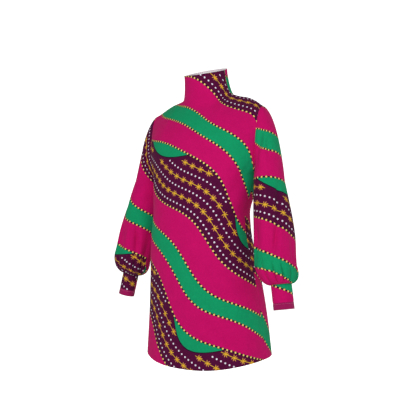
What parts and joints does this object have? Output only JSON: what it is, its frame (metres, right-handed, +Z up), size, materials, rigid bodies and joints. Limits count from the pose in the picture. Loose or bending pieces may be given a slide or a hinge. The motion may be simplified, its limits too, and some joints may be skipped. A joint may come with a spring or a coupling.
{
  "type": "lantern sleeve dress",
  "caption": "Short A-line dress with a high funnel neck and full sleeves gathered into long narrow cuffs.",
  "frame": {"origin": "middle of the neck's base, at the height of the shoulder seams' neck ends, where the wearer's shoulders carry the dress", "axes": "+Z up from hem to neck, +X to the wearer's left, -Y out of the front"},
  "size_m": [0.666, 0.3311, 0.9429],
  "materials": {
    "print": "matte smooth knit with an all-over print",
    "band": "matte plain knit binding"
  },
  "bodies": {
    "root": {"front": "print", "back": "print", "sleeve_left": "print", "sleeve_right": "print", "cuff_left": "print", "cuff_right": "print", "cuff_band_left": "band", "cuff_band_right": "band"}
  },
  "joints": []
}
